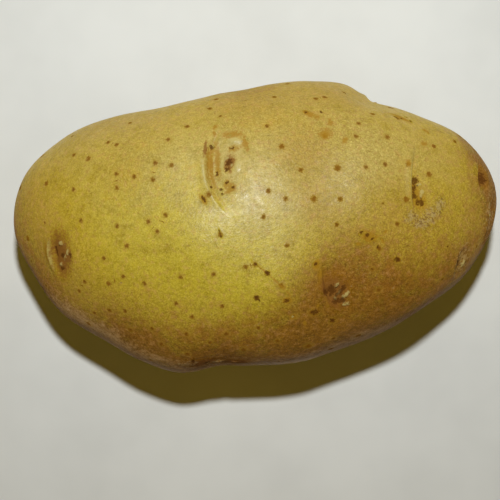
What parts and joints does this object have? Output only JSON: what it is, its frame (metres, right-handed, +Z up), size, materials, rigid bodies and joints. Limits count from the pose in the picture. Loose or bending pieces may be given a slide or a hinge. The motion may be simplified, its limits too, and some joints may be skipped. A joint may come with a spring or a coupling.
{
  "type": "potato",
  "caption": "Whole potato with thin yellow-brown skin, lying on its flatter side, with shallow eyes under curved brows and small cork dots.",
  "frame": {"origin": "middle of the length and width, in the plane of the flat spot the potato rests on", "axes": "+X along the length towards the rose end, where the eyes crowd together, and +Z up as it lies"},
  "size_m": [0.1126, 0.0672, 0.0547],
  "materials": {
    "skin": "thin waxy yellow-brown potato skin, slightly dusty, with brown cork dots and russet patches"
  },
  "bodies": {
    "root": {"tuber": "skin"}
  },
  "joints": []
}
